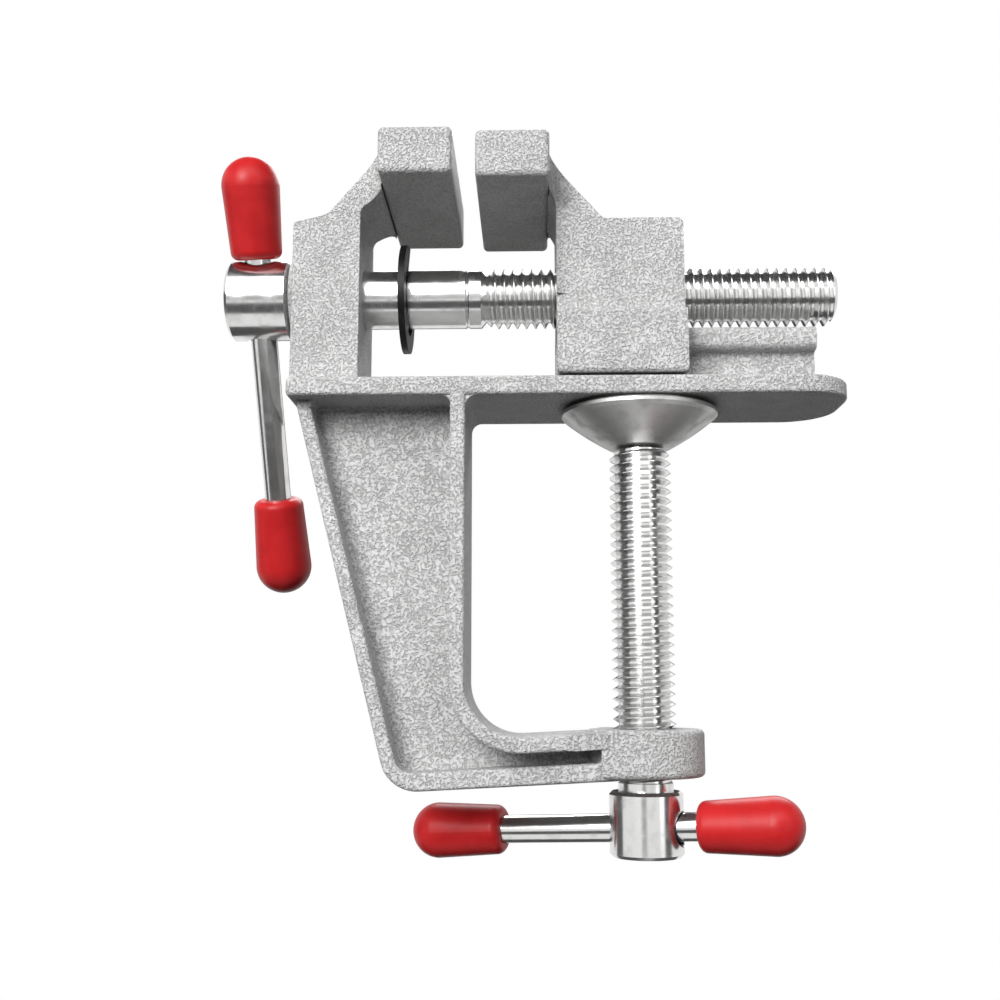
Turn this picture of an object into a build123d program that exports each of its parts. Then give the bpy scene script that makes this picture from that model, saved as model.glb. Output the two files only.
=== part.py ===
"""Small clamp-on table vise: a cast C-frame with a fixed jaw, a moving jaw driven by a screw, and a
clamp screw with a swivelling pad that holds the frame to a table edge.

Origin: on the underside of the table plate, on the axis of the clamp screw.  +X runs along the main
screw away from its head, +Z is up, and the jaws open along X.  Millimetres.
"""
from build123d import *
from math import ceil, cos, floor, radians, sin, sqrt
import os

# ---------------------------------------------------------------- driving dimensions
past = 1.0                 # a cut or a joining piece runs this far past the faces that it meets

# table plate
plate_thickness = 3.4
plate_width = 25.4
plate_left = 63.75         # from the clamp screw axis to the left end
plate_right = 37.4         # from the clamp screw axis to the rounded end
plate_corner = 9.5         # corner radius of the rounded end, in plan
plate_left_corner = 0.8
plate_edge = 0.7

# jaws
grip_face_x = -33.95       # gripping face of the fixed jaw
jaw_gap = 4.15             # opening between the gripping faces as pictured
jaw_width = 38.4
jaw_length = 13.2          # jaw block, along X
jaw_height = 8.75
jaw_underside = 38.7       # underside of the fixed jaw block above the plate underside
moving_jaw_drop = 0.8      # the moving jaw sits this much lower than the fixed one
jaw_edge = 1.0

# columns that carry the jaws
column_width = 18.5
fixed_column_length = 12.35    # along X
fixed_shoulder = 33.55         # height of the outer shoulder of the fixed column
fixed_knee_rise = 1.5          # the shoulder rises this much before the slope to the jaw starts
fixed_knee_run = 6.3
neck_flare = 3.8               # radius of the upright coves behind the jaw blocks
neck_below_top = 0.2           # the slope meets the fixed jaw block this much under its top
cove_drop = 2.5                # height of the cove under the neck of the fixed jaw
column_edge = 0.8
knee_round = 4.0                # rounding of the knee in the slope of the fixed column
neck_round = 2.0               # coves in the side view of the fixed neck
neck_edge = 0.4                # ... and where its slope meets the jaw block
buttress = 0.3                 # the underside of a neck starts to curve this far behind the block
moving_neck_sink = 0.4         # the underside of the moving neck lies this far inside its jaw block
moving_neck_below_top = 1.65

moving_column_setback = 1.3    # from the back of the moving jaw block to its column
moving_column_length = 23.2
moving_shoulder = 33.75
moving_shoulder_run = 14.6     # flat top of the moving column, along X
moving_cove_drop = 1.9
base_height = 12.0             # wide foot of the moving jaw
base_gap = 0.4                 # foot above the plate
ledge_cove = 1.8
foot_edge = 1.0                # long edges of the foot
moving_edge = 1.2              # upright corners of the side view
moving_cove = 0.8              # cove under the neck of the moving jaw

# rail under the moving jaw
rail_head_width = 10.0
rail_head_height = 4.4
rail_web = 4.4
rail_below_screw = 1.4         # top of the rail under the thread of the main screw
rail_left = 14.8               # from the clamp screw axis
rail_right = 32.3
rail_corner = 1.5
rail_cove = 0.8                # between the web of the rail and its head
slide_clearance = 0.25

# C-frame
leg_inset = 1.1                # outer face of the leg from the left end of the plate, at the top
leg_slope = 0.256              # run over fall of the outer face of the leg
outer_rib = 2.5                # thickness of the outer rib of the leg
outer_rib_width = 18.0
lower_flange = 3.2
inner_rib = 2.7                # thickness of the upright rib and of the upper flange of the arm
inner_rib_x = 31.7             # throat face of the upright rib from the clamp screw axis
web_thickness = 6.0
throat_depth = 58.5            # plate underside to the top of the arm boss
boss_height = 8.3
boss_radius = 10.5
arm_slope = 0.053              # the arm rises this much per mm towards the boss
pocket_end = 8.3               # from the clamp screw axis
outer_corner = 6.5
throat_corner = 9.5
rib_edge = 0.6
pocket_floor = 0.8             # cove between the web and what stands round it
pocket_corner = 1.2            # corners of the pocket under the plate
pocket_heel = 3.0              # corner of the pocket at the foot of the leg
pocket_nose = 0.8              # corners of the pocket at the boss
throat_cove = 2.0              # where the throat face of the upright rib meets the plate
rib_cove = 1.5                 # where its other face meets the plate
flange_taper = 6.5             # the upper flange starts to narrow this far before the pocket ends
flange_taper_end = 1.5         # ... and is as narrow as the boss this far past its end

# screws
screw_height = 21.5            # main screw axis above the plate underside
thread_pitch = 1.75
thread_radius = 5.6
thread_depth = 1.05
thread_crest = 0.14            # flat on the crest, along the axis
thread_root = 0.38             # flat at the root
thread_clearance = 0.1         # bore of a nut is larger than the screw thread all round
shank_radius = 5.5
shank_clearance = 0.08
shank_end = 31.95              # plain shank ends this far left of the clamp screw axis
bead_length = 2.6
bead_groove = 0.3              # depth of the fine groove before the bead
bead_edge = 0.4
root_relief = 0.15             # run-outs end this far under the thread root
thread_start = 28.4            # from the clamp screw axis
thread_end = 36.6
main_head_radius = 7.5
main_head_length = 11.8
main_hole_inset = 5.4          # cross hole from the outer end of the head
head_chamfer = 0.6
head_seat = 0.25               # head stands off the cast seat
cast_seat_radius = 8.0
cast_seat_height = 1.1
cast_seat_edge = 0.5
cross_hole_radius = 3.1

# retaining clip in the groove of the main screw
clip_radius = 10.2
clip_thickness = 1.2
clip_standoff = 7.15           # from the inner face of the fixed column
clip_inner_radius = 6.9
clip_prong_width = 3.6
clip_mouth = 9.4
clip_prong_angle = 125.0       # from the middle prong to the two outer ones
clip_turn = 150.0              # direction of the middle prong, from +Y towards +Z
groove_radius = 5.0
groove_clearance = 0.05

# clamp screw
clamp_head_radius = 6.55
clamp_head_length = 11.3
clamp_hole_rise = 4.95         # cross hole above the foot of the head
collar_radius = 4.9
collar_length = 1.4
collar_gap = 1.1               # collar below the arm boss
ball_radius = 2.9
ball_depth = 4.8               # centre of the ball below the plate underside
neck_radius = 2.1
screw_to_pad = 0.45            # end of the thread below the pad

# clamp pad
pad_radius = 14.4
pad_gap = 0.65                 # rim below the plate underside
pad_rim = 1.5
pad_base = 7.5                 # lowest edge of the pad below the plate underside
pad_base_radius = 5.9
socket_clearance = 0.1
pad_edge = 0.3                 # chamfer of the rim
pad_under_rim = 0.6            # the rim stands this far out over the bowl
pad_bowl_radius = 10.1         # the bowl bulges out to this radius ...
pad_bowl_depth = 4.9           # ... at this depth below the plate underside
pad_dish = 0.4                 # depth of the recess in the gripping face
pad_dish_radius = 12.4
pad_dish_slope = 0.8

# snap ring that holds the ball in the pad
ring_thickness = 0.6
ring_radius = 3.7
ring_bore = 2.55
ring_depth = 6.7               # middle of the ring below the plate underside
ring_play = 0.25               # groove is larger than the ring by this on each side
ring_split = 1.2

# handle bars and their moulded grips
bar_radius = 2.5
bar_in_grip = 14.0
main_grip = (18.9, 5.4)        # length and largest radius
clamp_grip = (18.1, 5.05)
grip_taper = 0.6               # the mouth is narrower than the shoulder by this radius
grip_lip = 1.5
grip_clearance = 0.05
bar_edge = 0.4
main_bar_top = 26.7            # tip of the upper grip from the main screw axis
main_bar_bottom = 57.3
main_bar_tilt = 20.0           # degrees from upright, top towards the front
clamp_bar_left = 45.05
clamp_bar_right = 27.6
clamp_bar_turn = 20.0          # degrees, right end towards the front
main_bar_lean = 2.4            # degrees that each bar leans in its loose hole
clamp_bar_lean = 2.9

# ---------------------------------------------------------------- places worked out from them
rail_top = screw_height - thread_radius - rail_below_screw
fixed_block_back = grip_face_x - jaw_length
column_left = -plate_left
column_inner = column_left + fixed_column_length
moving_face = grip_face_x + jaw_gap
moving_block_back = moving_face + jaw_length
moving_left = moving_block_back + moving_column_setback
moving_right = moving_left + moving_column_length
moving_underside = jaw_underside - moving_jaw_drop
foot_bottom = plate_thickness + base_gap
ledge = foot_bottom + base_height
boss_bottom = -throat_depth - boss_height
head_right = column_left - cast_seat_height - head_seat
head_left = head_right - main_head_length
main_hole_x = head_left + main_hole_inset
clip_x = column_inner + clip_standoff + clip_thickness / 2
collar_top = boss_bottom - collar_gap
clamp_head_top = collar_top - collar_length
clamp_head_bottom = clamp_head_top - clamp_head_length
clamp_hole_z = clamp_head_bottom + clamp_hole_rise
clamp_thread_top = -pad_base - screw_to_pad


def main_bar_direction():
    """Unit vector along the main handle bar, towards its upper grip."""
    lean, tilt = radians(main_bar_lean), radians(main_bar_tilt)
    return Vector(-sin(lean), -cos(lean) * sin(tilt), cos(lean) * cos(tilt))


def clamp_bar_direction():
    """Unit vector along the clamp handle bar, towards its right grip."""
    lean, turn = radians(clamp_bar_lean), radians(clamp_bar_turn)
    return Vector(cos(lean) * cos(turn), -cos(lean) * sin(turn), sin(lean))


# ---------------------------------------------------------------- helpers
def side_slab(outline, width):
    """Extrude a closed outline of (x, z) points or a face in XZ to a width centred on Y = 0."""
    face = outline if isinstance(outline, Sketch) else make_face(Polyline(*outline, close=True))
    return extrude(Plane.XZ * face, width / 2, both=True)


def rounded_slab(corners, width):
    """The same from (x, z, radius) corners."""
    return side_slab(rounded_face(corners), width)


def rounded_face(corners):
    points = [(x, y) for x, y, _ in corners]
    radii = [r for _, _, r in corners]
    return make_face(FilletPolyline(*points, radius=radii, close=True))


def across_edges(solid, half_width):
    """Edges that lie in the two planes Y = +-half_width."""
    return solid.edges().filter_by(lambda e: abs(abs(e.bounding_box().min.Y) - half_width) < 1e-4
                                   and e.bounding_box().size.Y < 1e-4)


def x_cylinder(radius, x_from, x_to, height=screw_height):
    """Cylinder along X on the main screw axis."""
    plane = Plane(origin=(x_from, 0, height), x_dir=(0, 1, 0), z_dir=(1, 0, 0))
    return extrude(plane * Circle(radius), x_to - x_from)


def z_cylinder(radius, z_from, z_to):
    return extrude(Plane.XY.offset(z_from) * Circle(radius), z_to - z_from)


def turned(points):
    """Solid of revolution about Z from (radius, z) points."""
    return revolve(make_face(Plane.XZ * Polyline(*points, close=True)), Axis.Z)


def neck_plan(x_far, x_block, half_width, flare):
    """Plan outline of a neck that flares with two concave coves where it meets a jaw block."""
    toward = 1 if x_block > x_far else -1
    x_flare = x_block - toward * flare
    x_mid = x_flare + toward * flare * sin(radians(45))
    y_mid = half_width + flare * (1 - cos(radians(45)))
    wide = half_width + flare
    edges = [
        Line((x_far, -half_width), (x_flare, -half_width)),
        ThreePointArc((x_flare, -half_width), (x_mid, -y_mid), (x_block, -wide)),
        Line((x_block, -wide), (x_block, wide)),
        ThreePointArc((x_block, wide), (x_mid, y_mid), (x_flare, half_width)),
        Line((x_flare, half_width), (x_far, half_width)),
        Line((x_far, half_width), (x_far, -half_width)),
    ]
    return make_face(Wire([edge.edge() for edge in edges]))


def jaw_block(x_left, underside):
    """Wide block with softened edges that carries a gripping face."""
    block = Box(jaw_length, jaw_width, jaw_height, align=(Align.MIN, Align.CENTER, Align.MIN))
    return Pos(x_left, 0, underside) * fillet(block.edges(), jaw_edge)


def neck(corners, x_far, x_block):
    """Side outline of a neck cut to its flared plan."""
    side = rounded_slab(corners, column_width + 2 * neck_flare)
    plan = neck_plan(x_far, x_block, column_width / 2, neck_flare)
    return side & extrude(plan, jaw_underside + 2 * jaw_height)


def groove_section(radius_gap):
    """Rail cross-section in (y, z), grown all round by a clearance."""
    head = rail_head_width / 2 + radius_gap
    web = rail_web / 2 + radius_gap
    top = rail_top + radius_gap
    under = rail_top - rail_head_height - radius_gap
    foot = plate_thickness / 2
    return rounded_face([(-web, foot, 0), (web, foot, 0), (web, under, rail_cove), (head, under, rail_corner),
                         (head, top, rail_corner), (-head, top, rail_corner),
                         (-head, under, rail_corner), (-web, under, rail_cove)])


def along_x(face, x_from, x_to):
    """Extrude a (y, z) face along X."""
    return extrude(Plane(origin=(x_from, 0, 0), x_dir=(0, 1, 0), z_dir=(1, 0, 0)) * face, x_to - x_from)


# ---------------------------------------------------------------- threads
def thread_band(low, high):
    """One turn of the ruled surface between two right-hand helices, each given by (radius, start)."""
    edges = [Edge.make_helix(thread_pitch, thread_pitch, r, center=(0, 0, z)) for r, z in (low, high)]
    return Face.make_surface_from_curves(*edges)


def helix_solid(profile, start, turns):
    """Rod with a helical ridge, sewn from single turns of every strip of its (radius, rise) profile."""
    faces = []
    for turn in range(turns):
        z = start + turn * thread_pitch
        rims = [(radius, z + rise) for radius, rise in profile]
        faces += [thread_band(low, high) for low, high in zip(rims, rims[1:])]
    for z in (start, start + turns * thread_pitch):
        core = Edge.make_line((0, 0, z), (0, 0, z + thread_pitch))
        rim = Edge.make_helix(thread_pitch, thread_pitch, profile[0][0], center=(0, 0, z))
        step = [(0, 0, z)] + [(r, 0, z + rise) for r, rise in profile] + [(0, 0, z + thread_pitch)]
        faces += [Face.make_surface_from_curves(core, rim), Face(Wire.make_polygon(step, close=True))]
    return Part([Solid(Shell(faces))])


def screw_thread(start, end):
    """Outside thread from start to end along Z, with a chamfer of one thread depth at both ends."""
    root = thread_radius - thread_depth
    flank = (thread_pitch - thread_crest - thread_root) / 2
    profile = [(thread_radius, 0), (thread_radius, thread_crest), (root, thread_crest + flank),
               (root, thread_crest + flank + thread_root), (thread_radius, thread_pitch)]
    first = floor(start / thread_pitch) - 2
    rod = helix_solid(profile, first * thread_pitch, ceil(end / thread_pitch) + 1 - first)
    tip = root - root_relief
    beyond = thread_radius + thread_pitch
    return rod & turned([(0, start), (tip, start), (beyond, start + beyond - tip),
                         (beyond, end - beyond + tip), (tip, end), (0, end)])


def lay_along_x(solid):
    """Turn a solid built along Z so that it lies along X on the main screw axis."""
    return Pos(0, 0, screw_height) * Rot(0, 90, 0) * solid


# ---------------------------------------------------------------- frame casting
def table_plate():
    outline = rounded_face([(-plate_left, -plate_width / 2, plate_left_corner),
                            (plate_right, -plate_width / 2, plate_corner),
                            (plate_right, plate_width / 2, plate_corner),
                            (-plate_left, plate_width / 2, plate_left_corner)])
    plate = extrude(outline, plate_thickness)
    return fillet(plate.edges().filter_by(GeomType.LINE).filter_by(
        lambda e: e.bounding_box().size.Z < 1e-4) + plate.edges().filter_by(GeomType.CIRCLE), plate_edge)


def fixed_column():
    """Column of the fixed jaw with its sloping neck and the round seat for the screw head."""
    neck_top = jaw_underside + jaw_height - neck_below_top
    foot = plate_thickness / 2
    shoulder_end = column_left + fixed_knee_run
    inside = fixed_block_back + jaw_length / 3
    underside = jaw_underside
    corners = [(column_left, foot, 0), (column_left, fixed_shoulder, column_edge),
               (shoulder_end, fixed_shoulder + fixed_knee_rise, knee_round),
               (fixed_block_back, neck_top, neck_edge), (inside, neck_top, 0), (inside, underside, 0),
               (fixed_block_back - buttress, underside, neck_round),
               (column_inner, underside - cove_drop, neck_round), (column_inner, foot, 0)]
    body = neck(corners, column_left - past, fixed_block_back)
    seat = x_cylinder(cast_seat_radius, column_left - cast_seat_height, column_left + past)
    seat = fillet(seat.edges().group_by(Axis.X)[0], cast_seat_edge)
    return body + seat


def frame_outline():
    """Outer outline of the leg and the arm in XZ."""
    top = plate_thickness / 2
    leg_x = -plate_left + leg_inset
    bottom_at_axis = boss_bottom
    corner_z = (bottom_at_axis + arm_slope * leg_x) / (1 + arm_slope * leg_slope)
    corner_x = leg_x - leg_slope * corner_z
    throat_z = -throat_depth - arm_slope * inner_rib_x
    return rounded_face([(leg_x - leg_slope * top, top, 0), (corner_x, corner_z, outer_corner),
                         (0, bottom_at_axis, 0), (0, -throat_depth, 0),
                         (-inner_rib_x, throat_z, throat_corner), (-inner_rib_x, top, 0)])


def pocket_outline():
    """Recess on each side of the web, between the outer rib, the upright rib and the two flanges."""
    leg_x = -plate_left + leg_inset + outer_rib * sqrt(1 + leg_slope ** 2)
    floor_at_axis = boss_bottom + lower_flange
    roof_at_axis = -throat_depth - inner_rib
    corner_z = (floor_at_axis + arm_slope * leg_x) / (1 + arm_slope * leg_slope)
    rib_x = inner_rib_x + inner_rib
    return rounded_face([(leg_x, 0, pocket_corner), (leg_x - leg_slope * corner_z, corner_z, pocket_heel),
                         (-pocket_end, floor_at_axis - arm_slope * pocket_end, pocket_nose),
                         (-pocket_end, roof_at_axis - arm_slope * pocket_end, pocket_nose),
                         (-rib_x, roof_at_axis - arm_slope * rib_x, throat_corner + inner_rib),
                         (-rib_x, 0, pocket_corner)])


def inner_band():
    """Full-width upright rib and upper flange of the arm, narrowed to the boss at its end."""
    top = plate_thickness / 2
    rib_x = inner_rib_x + inner_rib
    roof_at_axis = -throat_depth - inner_rib
    band = rounded_slab([(-inner_rib_x, top, 0), (-rib_x, top, 0),
                         (-rib_x, roof_at_axis - arm_slope * rib_x, throat_corner + inner_rib),
                         (0, roof_at_axis, 0), (0, -throat_depth, 0),
                         (-inner_rib_x, -throat_depth - arm_slope * inner_rib_x, throat_corner)],
                        plate_width)
    half, end = plate_width / 2, boss_radius
    taper_from = -pocket_end - flange_taper
    taper_to = -pocket_end + flange_taper_end
    plan = make_face(Polyline((-plate_left, -half), (taper_from, -half), (taper_to, -end), (0, -end),
                              (0, end), (taper_to, end), (taper_from, half), (-plate_left, half),
                              close=True))
    band &= extrude(Plane.XY.offset(boss_bottom - past) * plan, top + past - boss_bottom + past)
    return fillet(across_edges(band, half), rib_edge)


def plate_coves():
    """Rounded inside corners between the underside of the plate and both faces of the upright rib."""
    coves, top = Part(), plate_thickness / 2
    for face_x, away, radius in ((-inner_rib_x, 1, throat_cove), (-inner_rib_x - inner_rib, -1, rib_cove)):
        middle = radius * (1 - sin(radians(45)))
        inside, rim = face_x - away * inner_rib / 2, face_x + away * radius
        outline = make_face(Wire([edge.edge() for edge in (
            Line((inside, top), (rim, top)), Line((rim, top), (rim, 0)),
            ThreePointArc((rim, 0), (face_x + away * middle, -middle), (face_x, -radius)),
            Line((face_x, -radius), (inside, -radius)), Line((inside, -radius), (inside, top)))]))
        coves += side_slab(outline, plate_width - 2 * rib_edge)
    return coves


def c_frame():
    """I-section leg and arm with the round boss for the clamp screw."""
    leg = side_slab(frame_outline(), outer_rib_width)
    pocket_depth = (outer_rib_width - web_thickness) / 2
    for side in (-1, 1):
        middle = side * (web_thickness + pocket_depth) / 2
        pocket = side_slab(pocket_outline(), pocket_depth)
        floor_edges = pocket.edges().filter_by(
            lambda e: abs(e.bounding_box().min.Y + side * pocket_depth / 2) < 1e-4
            and e.bounding_box().size.Y < 1e-4)
        leg -= Pos(0, middle, 0) * fillet(floor_edges, pocket_floor)
    leg = fillet(across_edges(leg, outer_rib_width / 2), rib_edge)
    boss = z_cylinder(boss_radius, boss_bottom, -throat_depth)
    boss += Pos(-pocket_end, 0, boss_bottom) * Box(pocket_end, 2 * boss_radius, boss_height,
                                                   align=(Align.MIN, Align.CENTER, Align.MIN))
    boss = fillet(boss.edges().filter_by(lambda e: e.bounding_box().size.Z < 1e-4), jaw_edge)
    return leg + boss + inner_band() + plate_coves()


def rail():
    return along_x(groove_section(0), -rail_left, rail_right)


def frame_casting():
    body = table_plate() + c_frame() + fixed_column() + rail()
    body += jaw_block(fixed_block_back, jaw_underside)
    body -= x_cylinder(shank_radius + shank_clearance, column_left - cast_seat_height - past,
                       column_inner + past)
    body -= z_cylinder(thread_radius + thread_clearance, boss_bottom - past, past - throat_depth)
    return body


# ---------------------------------------------------------------- moving jaw
def moving_jaw():
    """Jaw block, necked column with the tapped hole, and a wide foot that rides on the rail."""
    neck_top = moving_underside + jaw_height - moving_neck_below_top
    inside = moving_block_back - jaw_length / 3
    shoulder_start = moving_right - moving_shoulder_run
    corners = [(moving_right, foot_bottom, moving_edge), (moving_right, moving_shoulder, moving_edge),
               (shoulder_start, moving_shoulder, moving_edge), (moving_block_back, neck_top, moving_edge),
               (inside, neck_top, 0), (inside, moving_underside + moving_neck_sink, 0),
               (moving_block_back + buttress, moving_underside + moving_neck_sink, moving_cove),
               (moving_left, moving_underside - moving_cove_drop, moving_cove),
               (moving_left, foot_bottom, moving_edge)]
    side = rounded_slab(corners, plate_width + 2 * neck_flare)
    half, wide = column_width / 2, plate_width / 2
    above = moving_underside + jaw_height
    front = rounded_face([(-wide, foot_bottom, foot_edge), (wide, foot_bottom, foot_edge),
                          (wide, ledge, foot_edge), (half, ledge, ledge_cove), (half, above, 0),
                          (-half, above, 0), (-half, ledge, ledge_cove), (-wide, ledge, foot_edge)])
    plan = neck_plan(moving_right + past, moving_block_back, column_width / 2, neck_flare)
    flared = Pos(0, 0, ledge + 2 * ledge_cove) * extrude(plan, jaw_underside)
    body = side & (along_x(front, inside, moving_right + past) + flared)
    body += jaw_block(moving_face, moving_underside)
    body -= along_x(groove_section(slide_clearance), moving_left - past, moving_right + past)
    body -= x_cylinder(thread_radius + thread_clearance, moving_left - past, moving_right + past)
    return body


# ---------------------------------------------------------------- main screw
def cross_hole(center, direction):
    """Cutter for the loose hole of a handle bar."""
    reach = 2 * main_head_radius
    plane = Plane(origin=Vector(*center) - direction * reach, z_dir=direction)
    return extrude(plane * Circle(cross_hole_radius), 2 * reach)


def main_screw():
    head = x_cylinder(main_head_radius, head_left, head_right)
    head = chamfer(head.edges(), head_chamfer)
    upright = Vector(0, -sin(radians(main_bar_tilt)), cos(radians(main_bar_tilt)))
    head -= cross_hole((main_hole_x, 0, screw_height), upright)
    shank = x_cylinder(shank_radius, head_right, -shank_end)
    shank -= x_cylinder(shank_radius + past, clip_x - clip_thickness / 2 - groove_clearance,
                        clip_x + clip_thickness / 2 + groove_clearance) \
        - x_cylinder(groove_radius, clip_x - clip_thickness, clip_x + clip_thickness)
    groove_floor = shank_radius - bead_groove
    shank = chamfer(shank.edges().group_by(Axis.X)[-1], bead_groove)
    root = thread_radius - thread_depth - root_relief
    bead_end = -shank_end + bead_length
    bead = turned_x([(0, -shank_end), (groove_floor, -shank_end), (shank_radius, -shank_end + bead_edge),
                     (shank_radius, bead_end), (root, -thread_start), (0, -thread_start)])
    thread = lay_along_x(screw_thread(-thread_start, thread_end))
    return head + shank + bead + thread


def turned_x(points):
    """Solid of revolution about the main screw axis from (radius, x) points."""
    return lay_along_x(turned(points))


def retaining_clip():
    """E-shaped clip: an open ring whose three prongs grip the groove."""
    ring = Circle(clip_radius) - Circle(clip_inner_radius)
    prong = Rectangle(clip_prong_width, clip_inner_radius - groove_radius + past,
                      align=(Align.CENTER, Align.MIN))
    for angle in (0, clip_prong_angle, -clip_prong_angle):
        ring += Rot(0, 0, angle) * (Pos(0, groove_radius, 0) * prong)
    ring -= Circle(groove_radius + groove_clearance)
    ring -= Rectangle(clip_mouth, clip_radius + past, align=(Align.CENTER, Align.MAX))
    plane = Plane(origin=(clip_x - clip_thickness / 2, 0, screw_height), x_dir=(0, 1, 0),
                  z_dir=(1, 0, 0))
    return extrude(plane * Rot(0, 0, clip_turn) * ring, clip_thickness)


# ---------------------------------------------------------------- clamp screw and pad
def clamp_screw():
    head = z_cylinder(clamp_head_radius, clamp_head_bottom, clamp_head_top)
    head = chamfer(head.edges(), head_chamfer)
    level = Vector(cos(radians(clamp_bar_turn)), -sin(radians(clamp_bar_turn)), 0)
    head -= cross_hole((0, 0, clamp_hole_z), level)
    collar = z_cylinder(collar_radius, clamp_head_top, collar_top)
    thread = screw_thread(collar_top, clamp_thread_top)
    neck_solid = z_cylinder(neck_radius, clamp_thread_top, -ball_depth)
    ball = Pos(0, 0, -ball_depth) * Sphere(ball_radius)
    return head + collar + thread + (neck_solid + ball)


def clamp_pad():
    """Saucer with a spherical socket, a bore for the ball and a groove for the snap ring."""
    top = -pad_gap
    rim_base, lip = top - pad_rim, pad_radius - pad_under_rim
    socket = ball_radius + socket_clearance
    profile = make_face(Wire([e.edge() for e in (
        Line((0, -pad_base), (pad_base_radius, -pad_base)),
        ThreePointArc((pad_base_radius, -pad_base), (pad_bowl_radius, -pad_bowl_depth), (lip, rim_base)),
        Line((lip, rim_base), (pad_radius, rim_base + pad_under_rim)),
        Line((pad_radius, rim_base + pad_under_rim), (pad_radius, top - pad_edge)),
        Line((pad_radius, top - pad_edge), (pad_radius - pad_edge, top)),
        Line((pad_radius - pad_edge, top), (pad_dish_radius, top)),
        Line((pad_dish_radius, top), (pad_dish_radius - pad_dish_slope, top - pad_dish)),
        Line((pad_dish_radius - pad_dish_slope, top - pad_dish), (0, top - pad_dish)),
        Line((0, top - pad_dish), (0, -pad_base)))]))
    pad = revolve(Plane.XZ * profile, Axis.Z)
    pad -= Pos(0, 0, -ball_depth) * Sphere(socket)
    pad -= z_cylinder(socket, -pad_base - past, -ball_depth)
    half = ring_thickness / 2 + ring_play
    pad -= z_cylinder(ring_radius + ring_play, -ring_depth - half, -ring_depth + half)
    return pad


def pad_snap_ring():
    ring = Circle(ring_radius) - Circle(ring_bore)
    ring -= Rectangle(ring_split, ring_radius + past, align=(Align.CENTER, Align.MIN))
    return extrude(Plane.XY.offset(-ring_depth - ring_thickness / 2) * ring, ring_thickness)


# ---------------------------------------------------------------- handles
def bar_plane(center, direction, distance):
    return Plane(origin=Vector(*center) + direction * distance, z_dir=direction)


def handle_bar(center, direction, low, high, grip):
    """Bar along direction whose grips have their tips at distances low and high from center."""
    hidden = grip[0] - bar_in_grip
    start, end = low + hidden, high - hidden
    bar = extrude(bar_plane(center, direction, start) * Circle(bar_radius), end - start)
    return chamfer(bar.edges().filter_by(GeomType.CIRCLE), bar_edge)


def handle_grip(center, direction, tip, grip):
    """Moulded cap over the end of a bar: rounded mouth, slight taper and a domed tip."""
    length, radius = grip
    outward = direction if tip > 0 else -direction
    bore, mouth = bar_radius + grip_clearance, radius - grip_taper
    shoulder = length - radius
    round_45 = sin(radians(45))
    profile = make_face(Wire([e.edge() for e in (
        Line((bore, 0), (mouth - grip_lip, 0)),
        ThreePointArc((mouth - grip_lip, 0),
                      (mouth - grip_lip * (1 - round_45), grip_lip * (1 - round_45)), (mouth, grip_lip)),
        Line((mouth, grip_lip), (radius, shoulder)),
        ThreePointArc((radius, shoulder), (radius * round_45, shoulder + radius * round_45), (0, length)),
        Line((0, length), (0, bar_in_grip + grip_clearance)),
        Line((0, bar_in_grip + grip_clearance), (bore, bar_in_grip + grip_clearance)),
        Line((bore, bar_in_grip + grip_clearance), (bore, 0)))]))
    cap = revolve(Plane.XZ * profile, Axis.Z)
    return bar_plane(center, outward, abs(tip) - length).location * cap


# ---------------------------------------------------------------- write every node
main_center = (main_hole_x, 0, screw_height)
clamp_center = (0, 0, clamp_hole_z)

nodes = {
    "frame_casting": frame_casting(),
    "moving_jaw": moving_jaw(),
    "main_screw": main_screw(),
    "retaining_clip": retaining_clip(),
    "main_handle_bar": handle_bar(main_center, main_bar_direction(), -main_bar_bottom, main_bar_top,
                                  main_grip),
    "main_handle_grip_upper": handle_grip(main_center, main_bar_direction(), main_bar_top, main_grip),
    "main_handle_grip_lower": handle_grip(main_center, main_bar_direction(), -main_bar_bottom, main_grip),
    "clamp_screw": clamp_screw(),
    "clamp_pad": clamp_pad(),
    "pad_snap_ring": pad_snap_ring(),
    "clamp_handle_bar": handle_bar(clamp_center, clamp_bar_direction(), -clamp_bar_left, clamp_bar_right,
                                   clamp_grip),
    "clamp_handle_grip_left": handle_grip(clamp_center, clamp_bar_direction(), -clamp_bar_left, clamp_grip),
    "clamp_handle_grip_right": handle_grip(clamp_center, clamp_bar_direction(), clamp_bar_right, clamp_grip),
}

os.makedirs("parts", exist_ok=True)
for name, shape in nodes.items():
    export_step(shape, f"parts/{name}.step")
    print(f"{name}: {len(shape.solids())} solid(s), {shape.volume:.1f} mm3")
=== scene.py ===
# Small clamp-on table vise: finishes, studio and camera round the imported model.
# Distances are in metres, in the frame of the model; a texture's own sizes are in millimetres.
import math

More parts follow.
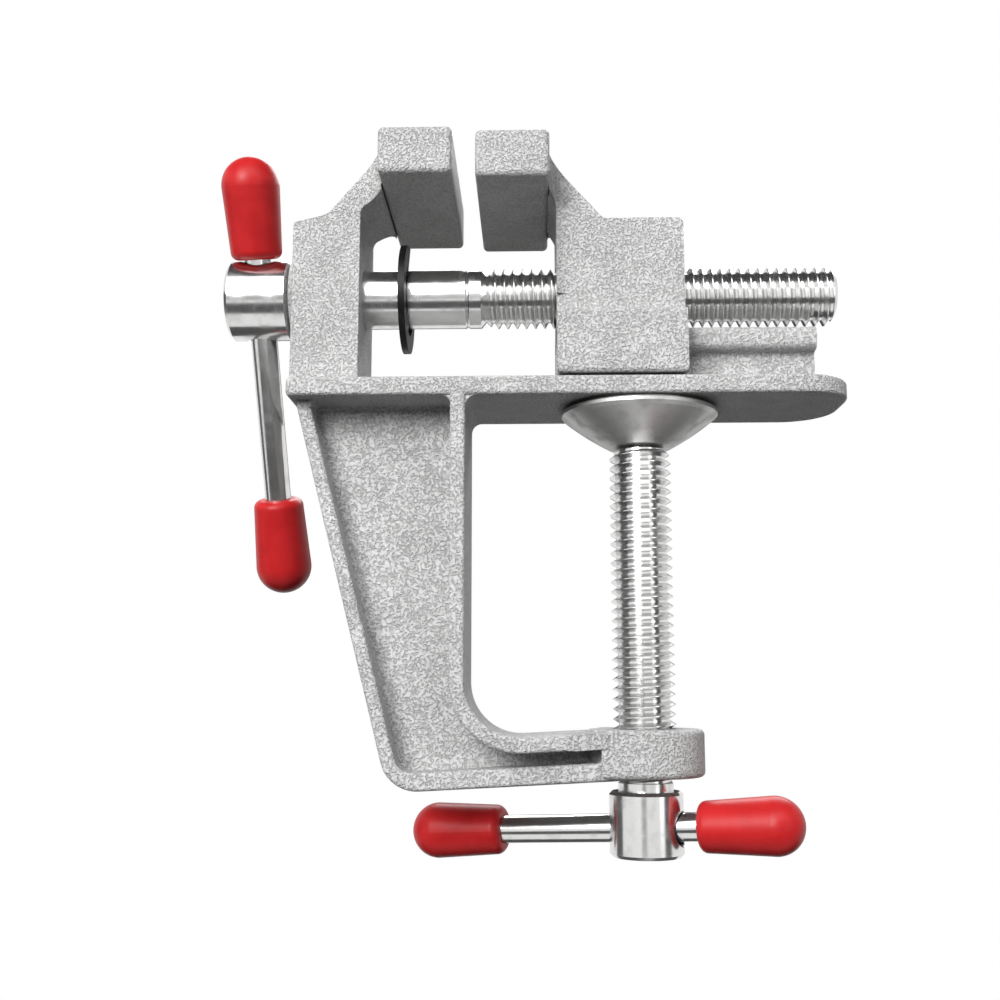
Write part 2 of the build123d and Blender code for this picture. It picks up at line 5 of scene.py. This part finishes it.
import bpy
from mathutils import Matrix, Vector


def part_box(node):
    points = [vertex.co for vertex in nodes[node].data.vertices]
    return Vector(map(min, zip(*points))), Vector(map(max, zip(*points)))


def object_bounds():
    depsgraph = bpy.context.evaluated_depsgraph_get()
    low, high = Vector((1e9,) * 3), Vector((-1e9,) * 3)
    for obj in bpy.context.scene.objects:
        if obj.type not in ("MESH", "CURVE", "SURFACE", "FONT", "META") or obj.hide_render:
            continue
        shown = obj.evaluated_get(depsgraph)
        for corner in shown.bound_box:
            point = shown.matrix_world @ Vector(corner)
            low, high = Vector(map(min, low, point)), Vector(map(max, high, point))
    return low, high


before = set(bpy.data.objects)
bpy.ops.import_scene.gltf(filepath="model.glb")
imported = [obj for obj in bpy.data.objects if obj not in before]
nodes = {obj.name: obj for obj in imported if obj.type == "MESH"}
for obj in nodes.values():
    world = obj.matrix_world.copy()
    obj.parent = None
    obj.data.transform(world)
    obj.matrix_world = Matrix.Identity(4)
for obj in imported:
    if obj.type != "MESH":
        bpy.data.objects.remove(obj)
cadLow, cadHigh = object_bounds()
print("vise: model loaded,", len(nodes), "pieces")


class Wire:
    # one output socket of a node; sums and products on it add Math nodes
    def __init__(self, tree, socket):
        self.tree = tree
        self.socket = socket

    def maths(self, operation, first, second):
        return addNode(self.tree, "ShaderNodeMath", {"operation": operation},
                       {0: first, 1: second})

    def __add__(self, other):
        return self.maths("ADD", self, other)

    def __sub__(self, other):
        return self.maths("SUBTRACT", self, other)

    def __mul__(self, other):
        return self.maths("MULTIPLY", self, other)

    def __rsub__(self, other):
        return self.maths("SUBTRACT", other, self)

    __radd__ = __add__
    __rmul__ = __mul__

    def other(self, name):
        # another output of the same node
        return Wire(self.tree, self.socket.node.outputs[name])

    def clipped(self):
        return addNode(self.tree, "ShaderNodeClamp", {}, {"Value": self})

    def over(self, low, high):
        # 0 under low, 1 above high, smooth between
        return addNode(self.tree, "ShaderNodeMapRange", {"interpolation_type": "SMOOTHSTEP"},
                       {"Value": self, "From Min": low, "From Max": high})


def addNode(tree, kind, settings=None, sockets=None, output=0):
    # settings go in first because some of them change the sockets
    node = tree.nodes.new(kind)
    for name, value in (settings or {}).items():
        setattr(node, name, value)
    for name, value in (sockets or {}).items():
        if isinstance(value, Wire):
            tree.links.new(value.socket, node.inputs[name])
        else:
            node.inputs[name].default_value = value
    if node.outputs:
        return Wire(tree, node.outputs[output])


def mixColour(tree, factor, first, second):
    return addNode(tree, "ShaderNodeMix", {"data_type": "RGBA"},
                   {"Factor": factor, 6: tone(first), 7: tone(second)}, output=2)


def tone(colour):
    return colour if isinstance(colour, Wire) else (*colour, 1.0)


def bareMaterial(name):
    material = bpy.data.materials.new(name)
    material.use_nodes = True
    material.node_tree.nodes.clear()
    return material, material.node_tree


def showSurface(tree, shader):
    addNode(tree, "ShaderNodeOutputMaterial", {}, {"Surface": shader})


def coat(tree, look, colour, rough, normal, metallic=0.0):
    # one Principled shader: what varies is wired in, and plain numbers are set on its own sockets
    showSurface(tree, addNode(tree, "ShaderNodeBsdfPrincipled", {},
                              {"Base Color": colour, "Roughness": rough, "Normal": normal,
                               "Metallic": metallic, "Specular IOR Level": look["gloss"]}))


def placeInMm(tree):
    place = addNode(tree, "ShaderNodeTexCoord").other("Object")
    return addNode(tree, "ShaderNodeVectorMath", {"operation": "SCALE"},
                   {0: place, "Scale": 1000.0})


def noise(tree, place, perMm, detail=2.0, swirl=0.0):
    return addNode(tree, "ShaderNodeTexNoise", {},
                   {"Vector": place, "Scale": perMm, "Detail": detail, "Distortion": swirl})


def stretched(tree, place, along, squeeze):
    # the place with its length along a direction divided by squeeze: noise on it draws streaks
    # along the direction, or rings across it where squeeze is under 1
    reach = addNode(tree, "ShaderNodeVectorMath", {"operation": "DOT_PRODUCT"},
                    {0: place, 1: along}).other("Value")
    part = addNode(tree, "ShaderNodeVectorMath", {"operation": "SCALE"},
                   {0: along, "Scale": reach * (1 - 1 / squeeze)})
    return addNode(tree, "ShaderNodeVectorMath", {"operation": "SUBTRACT"}, {0: place, 1: part})


def bump(tree, height, distance, strength=1.0):
    return addNode(tree, "ShaderNodeBump", {},
                   {"Height": height, "Distance": distance, "Strength": strength})


casting = {
    "light": (0.610, 0.612, 0.608),
    "dark": (0.340, 0.342, 0.340),   # in the valleys of the grain
    # painted shade: the dark grey that ambient occlusion puts into inside corners
    "paintedCornerShade": (0.16, 0.16, 0.158),   # in inside corners
    "paintedShadeReach": 0.0022,
    "paintedShadeRange": (0.15, 0.75),
    "grainPerMm": 2.5,
    "grainSwirl": 0.6,
    "pitsPerMm": 5.75,
    "pitShare": 0.2,
    "grainRange": (0.32, 0.58),      # low, so that the valleys are narrow
    "grainDepth": 0.00021,
    "blotchesPerMm": 0.16,
    "blotchRange": (0.3, 0.7),
    "blotchShare": 0.25,
    "blotchHeight": 0.3,             # against the grain's
    "roughness": 0.50,
    "roughSpread": 0.12,
    "gloss": 0.25,
}


def castFinish(name, look):
    # bead-blasted casting: short wormy grain, faint blotches and painted shade in inside corners
    finish, tree = bareMaterial(name)
    place = placeInMm(tree)
    grain = noise(tree, place, look["grainPerMm"], detail=1.0, swirl=look["grainSwirl"])
    pits = noise(tree, place, look["pitsPerMm"], detail=1.0)
    pitShare, blotchShare = look["pitShare"], look["blotchShare"]
    ridges = (grain * (1 - pitShare) + pits * pitShare).over(*look["grainRange"])
    blotches = noise(tree, place, look["blotchesPerMm"]).over(*look["blotchRange"])
    lit = ridges * (1 - blotchShare) + blotches * blotchShare
    # painted shade: ambient occlusion within a short reach darkens the colour in inside corners
    openness = addNode(tree, "ShaderNodeAmbientOcclusion", {"samples": 8},
                       {"Distance": look["paintedShadeReach"]}).other("AO")
    colour = mixColour(tree, openness.over(*look["paintedShadeRange"]), look["paintedCornerShade"],
                       mixColour(tree, lit, look["dark"], look["light"]))
    rough = look["roughness"] + (ridges - 0.5) * look["roughSpread"]
    normal = bump(tree, ridges + blotches * look["blotchHeight"], look["grainDepth"])
    coat(tree, look, colour, rough, normal)
    return finish


steel = {
    "colour": (0.72, 0.72, 0.715),
    "stain": (0.62, 0.62, 0.615),
    "roughness": 0.16,
    "gloss": 0.5,
    "ringsPerMm": 9.0,
    "ringDepth": 0.0000015,
}

saucer = {
    "colour": (0.44, 0.44, 0.435),
    "stain": (0.34, 0.34, 0.335),
    "roughness": 0.42,
    "gloss": 0.5,
    "ringsPerMm": 4.0,
    "ringDepth": 0.000003,
}

turning = {
    "squeeze": 0.02,             # the noise is 50 times finer along the axis than round it
    "stainsPerMm": 0.35,
    "stainRange": (0.42, 0.72),
    "stainRoughness": 0.10,
    "roughSpread": 0.10,
}


def turnedFinish(name, look, along):
    # bright plated steel off the lathe: fine rings round an axis and faint stains
    finish, tree = bareMaterial(name)
    place = placeInMm(tree)
    squeeze = turning["squeeze"]
    rings = noise(tree, stretched(tree, place, along, squeeze), look["ringsPerMm"] * squeeze)
    stains = noise(tree, place, turning["stainsPerMm"], detail=3.0).over(*turning["stainRange"])
    colour = mixColour(tree, stains, look["colour"], look["stain"])
    rough = (look["roughness"] + stains * turning["stainRoughness"]
             + (rings - 0.5) * turning["roughSpread"])
    coat(tree, look, colour, rough, bump(tree, rings, look["ringDepth"]), metallic=1.0)
    return finish


drawing = {
    "stretch": 40.0,
    "linesPerMm": 7.0,
    "lineDepth": 0.0000015,
    "stainsPerMm": 0.3,
    "stainRange": (0.45, 0.75),
    "stainRoughness": 0.08,
    "roughSpread": 0.08,
}


def drawnFinish(name, look, along):
    # bright drawn bar: fine lines along it
    finish, tree = bareMaterial(name)
    place = placeInMm(tree)
    lines = noise(tree, stretched(tree, place, along, drawing["stretch"]), drawing["linesPerMm"])
    stains = noise(tree, place, drawing["stainsPerMm"], detail=3.0).over(*drawing["stainRange"])
    colour = mixColour(tree, stains, look["colour"], look["stain"])
    rough = (look["roughness"] + stains * drawing["stainRoughness"]
             + (lines - 0.5) * drawing["roughSpread"])
    coat(tree, look, colour, rough, bump(tree, lines, drawing["lineDepth"]), metallic=1.0)
    return finish


spring = {
    "colour": (0.004, 0.004, 0.004),
    "rubbed": (0.015, 0.015, 0.016),
    "rubsPerMm": 0.9,
    "rubRange": (0.55, 0.75),
    "rubRoughness": 0.15,
    "skinPerMm": 6.0,
    "skinDepth": 0.000004,
    "roughness": 0.42,
    "gloss": 0.2,
}


def springFinish(name, look):
    # blackened spring steel with slightly rubbed spots
    finish, tree = bareMaterial(name)
    place = placeInMm(tree)
    rubs = noise(tree, place, look["rubsPerMm"], detail=3.0).over(*look["rubRange"])
    colour = mixColour(tree, rubs, look["colour"], look["rubbed"])
    rough = look["roughness"] + rubs * look["rubRoughness"]
    normal = bump(tree, noise(tree, place, look["skinPerMm"]), look["skinDepth"])
    coat(tree, look, colour, rough, normal)
    return finish


grip = {
    "colour": (0.52, 0.017, 0.019),
    "shade": (0.46, 0.013, 0.015),
    "wavesPerMm": 0.22,
    "waveRange": (0.35, 0.65),
    "waveDepth": 0.00012,
    "waveStrength": 0.5,
    "skinPerMm": 5.0,
    "skinHeight": 0.04,              # against the waves'
    "roughness": 0.38,
    "roughSpread": 0.10,
    "gloss": 0.22,
}


def gripFinish(name, look):
    # dip-moulded soft vinyl: even and glossy, with faint flow waves
    finish, tree = bareMaterial(name)
    place = placeInMm(tree)
    waves = noise(tree, place, look["wavesPerMm"])
    skin = noise(tree, place, look["skinPerMm"])
    colour = mixColour(tree, waves.over(*look["waveRange"]), look["shade"], look["colour"])
    rough = look["roughness"] + (skin - 0.5) * look["roughSpread"]
    normal = bump(tree, waves + skin * look["skinHeight"], look["waveDepth"], look["waveStrength"])
    coat(tree, look, colour, rough, normal)
    return finish


def barDirection(node, signs):
    # the long direction of a bar: its box gives the sizes, signs which way each of them runs
    low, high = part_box(node)
    run = Vector([sign * size for sign, size in zip(signs, high - low)])
    return tuple(run.normalized())


across, upright = (1.0, 0.0, 0.0), (0.0, 0.0, 1.0)
mainBar = barDirection("main_handle_bar", (-1, -1, 1))
clampBar = barDirection("clamp_handle_bar", (1, -1, 1))
aluminium = castFinish("castAluminium", casting)
blackSpring = springFinish("blackSpringSteel", spring)
redVinyl = gripFinish("redVinyl", grip)

finishOf = {
    "frame_casting": aluminium,
    "moving_jaw": aluminium,
    "main_screw": turnedFinish("turnedSteelAcross", steel, across),
    "retaining_clip": blackSpring,
    "main_handle_bar": drawnFinish("drawnSteelMain", steel, mainBar),
    "main_handle_grip_upper": redVinyl,
    "main_handle_grip_lower": redVinyl,
    "clamp_screw": turnedFinish("turnedSteelUpright", steel, upright),
    "clamp_pad": turnedFinish("nickelSaucer", saucer, upright),
    "pad_snap_ring": blackSpring,
    "clamp_handle_bar": drawnFinish("drawnSteelClamp", steel, clampBar),
    "clamp_handle_grip_left": redVinyl,
    "clamp_handle_grip_right": redVinyl,
}


def dress(piece, finish):
    # the model's own piece, in its finish
    piece.data.materials.clear()
    piece.data.materials.append(finish)


for name, piece in nodes.items():
    dress(piece, finishOf[name])
print("vise: finishes on")


studio = {
    "aim": Vector((-0.018, 0.0, -0.015)),    # near the middle of the vise: every lamp faces it
    "floorDrop": 0.80,                       # the vise hangs over the floor, as on a table's edge
    "floorSize": 6.0,
    "floorBounce": 0.05,
    "skyLight": 0.18,
}


def seenDirectly(tree):
    # 1 for what the camera, a reflection or glass sees, 0 for light that bounces off as diffuse
    path = addNode(tree, "ShaderNodeLightPath")
    picks = [path.other(ray) for ray in ("Is Camera Ray", "Is Glossy Ray", "Is Transmission Ray")]
    return (picks[0] + picks[1] + picks[2]).clipped()


def card(name, width, depth, finish):
    # a flat rectangle of the studio, round its own middle
    x, y = width / 2, depth / 2
    mesh = bpy.data.meshes.new(name)
    mesh.from_pydata([(-x, -y, 0), (x, -y, 0), (x, y, 0), (-x, y, 0)], [], [(0, 1, 2, 3)])
    mesh.materials.append(finish)
    rectangle = bpy.data.objects.new(name, mesh)
    bpy.context.scene.collection.objects.link(rectangle)
    return rectangle


def layFloor(look):
    # plain white to the camera and in reflections, nearly black for the light that it throws back
    finish, tree = bareMaterial("paleFloor")
    white = addNode(tree, "ShaderNodeEmission", {}, {"Strength": 1.0})
    bounce = addNode(tree, "ShaderNodeBsdfDiffuse", {}, {"Color": tone([look["floorBounce"]] * 3)})
    showSurface(tree, addNode(tree, "ShaderNodeMixShader", {},
                              {"Fac": seenDirectly(tree), 1: bounce, 2: white}))
    floor = card("studioFloor", look["floorSize"], look["floorSize"], finish)
    floor.location.z = cadLow.z - look["floorDrop"]


def lightSky(look):
    world = bpy.data.worlds.new("studioSky")
    bpy.context.scene.world = world
    world.use_nodes = True
    tree = world.node_tree
    tree.nodes.clear()
    strength = look["skyLight"] + seenDirectly(tree) * (1 - look["skyLight"])
    sky = addNode(tree, "ShaderNodeBackground", {}, {"Color": (1, 1, 1, 1), "Strength": strength})
    addNode(tree, "ShaderNodeOutputWorld", {}, {"Surface": sky})


lamps = {
    "keyFront": {"place": (-0.50, -1.12, 0.42), "size": (0.60, 0.60), "watts": 18.0},
    "overheadFront": {"place": (0.0, -0.85, 0.76), "size": (1.40, 0.60), "watts": 7.0},
    "rightFront": {"place": (0.52, -0.55, 0.10), "size": (0.14, 0.50), "watts": 0.4},
    "backTop": {"place": (0.10, 0.60, 0.50), "size": (0.70, 0.30), "watts": 3.5},
}

# cards that only reflections see: they draw the dark bands on the bright steel
flags = {
    "topFlag": {"place": (0.0, 0.02, 0.62), "facing": (0, 0, -1),
                "size": (1.60, 0.80), "grey": 0.06},
    "underFront": {"place": (0.0, -1.00, -0.60), "facing": (0, 0, 1),
                   "size": (3.20, 1.05), "grey": 0.11},
    "underBack": {"place": (0.0, 0.36, -0.60), "facing": (0, 0, 1),
                  "size": (1.60, 0.62), "grey": 0.10},
    "cameraFlag": {"place": (-0.26, -1.20, -0.10), "facing": (0, 1, 0),
                   "size": (0.34, 0.36), "grey": 0.38},
    "backFlag": {"place": (-0.02, 0.85, 0.16), "facing": (0, -1, 0),
                 "size": (0.50, 0.50), "grey": 0.06},
    "leftFlag": {"place": (-0.80, 0.10, -0.02), "facing": (1, 0, 0),
                 "size": (0.40, 0.50), "grey": 0.12},
    "rightFlag": {"place": (0.80, -0.40, -0.02), "facing": (-1, 0, 0),
                  "size": (0.40, 0.50), "grey": 0.10},
}


def turnTo(thing, place, facing):
    thing.location = place
    thing.rotation_mode = "QUATERNION"
    thing.rotation_quaternion = Vector(facing).to_track_quat("-Z", "Y")


def hangLamps(aim):
    for name, look in lamps.items():
        light = bpy.data.lights.new(name, "AREA")
        light.shape = "RECTANGLE"
        light.size, light.size_y = look["size"]
        light.energy = look["watts"]
        lamp = bpy.data.objects.new(name, light)
        bpy.context.scene.collection.objects.link(lamp)
        turnTo(lamp, look["place"], aim - Vector(look["place"]))


def standFlags():
    for name, look in flags.items():
        finish, tree = bareMaterial(name)
        grey = tone([look["grey"]] * 3)
        showSurface(tree, addNode(tree, "ShaderNodeEmission", {}, {"Color": grey}))
        flag = card(name, *look["size"], finish)
        turnTo(flag, look["place"], look["facing"])
        flag.visible_camera = flag.visible_diffuse = flag.visible_shadow = False


layFloor(studio)
lightSky(studio)
hangLamps(studio["aim"])
standFlags()
print("vise: studio lit")


view = {
    "place": (-0.01967, -0.22022, -0.05187),
    "upTilt": 0.1569,            # radians above level
    "rightTurn": -0.0282,        # radians, right of +Y
    "lens": 43.49,               # mm, on the sensor below
    "sensor": 36.0,
    "reach": (0.01, 20.0),       # nearest and furthest that it sees
}


def standCamera(look):
    camera = bpy.data.objects.new("photoCamera", bpy.data.cameras.new("photoCamera"))
    bpy.context.scene.collection.objects.link(camera)
    camera.location = look["place"]
    camera.rotation_euler = (math.pi / 2 + look["upTilt"], 0, -look["rightTurn"])
    camera.data.sensor_width = look["sensor"]
    camera.data.lens = look["lens"]
    camera.data.clip_start, camera.data.clip_end = look["reach"]
    bpy.context.scene.camera = camera


standCamera(view)
bpy.context.scene.view_settings.view_transform = "Standard"
print("vise: camera placed")
